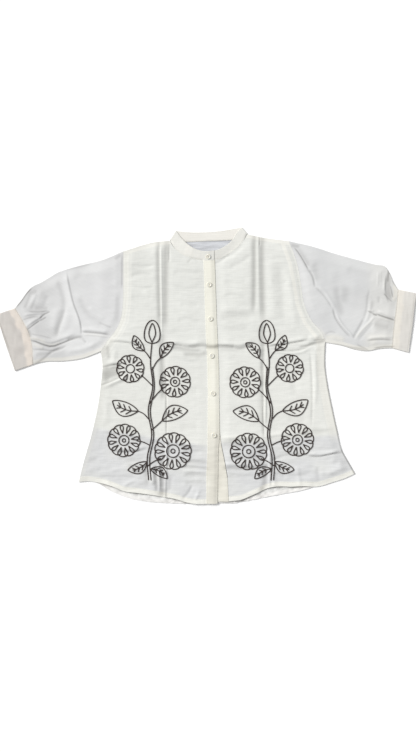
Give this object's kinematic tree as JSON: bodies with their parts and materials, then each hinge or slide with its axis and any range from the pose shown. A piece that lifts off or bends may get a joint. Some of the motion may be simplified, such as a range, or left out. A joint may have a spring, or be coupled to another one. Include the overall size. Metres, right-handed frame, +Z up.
{
  "type": "mandarin collar shirt",
  "caption": "Lightweight shirt with a mandarin collar, buttoned placket, gathered three-quarter sleeves, band cuffs and curved hem, laid flat.",
  "frame": {"origin": "centre of the laid-out shirt's outline, on the surface it lies on", "axes": "+X across the shirt towards the wearer's left sleeve, +Y towards the collar, +Z up from the surface"},
  "size_m": [1.0062, 0.6632, 0.0111],
  "materials": {
    "body_cloth": "off-white slub cotton and linen",
    "strip_cloth": "cream, interfaced",
    "sleeve_cloth": "cool white, fine plain weave",
    "cuff_cloth": "pinkish cream, interfaced",
    "button": "off-white pearl"
  },
  "bodies": {
    "root": {"back": "body_cloth", "front_right": "body_cloth", "front_left": "body_cloth", "placket": "strip_cloth", "under_placket": "strip_cloth", "collar": "strip_cloth", "sleeve_right": "sleeve_cloth", "sleeve_left": "sleeve_cloth", "cuff_right": "cuff_cloth", "cuff_left": "cuff_cloth", "button_collar": "button", "button_1": "button", "button_2": "button", "button_3": "button", "button_4": "button", "button_5": "button"}
  },
  "joints": []
}
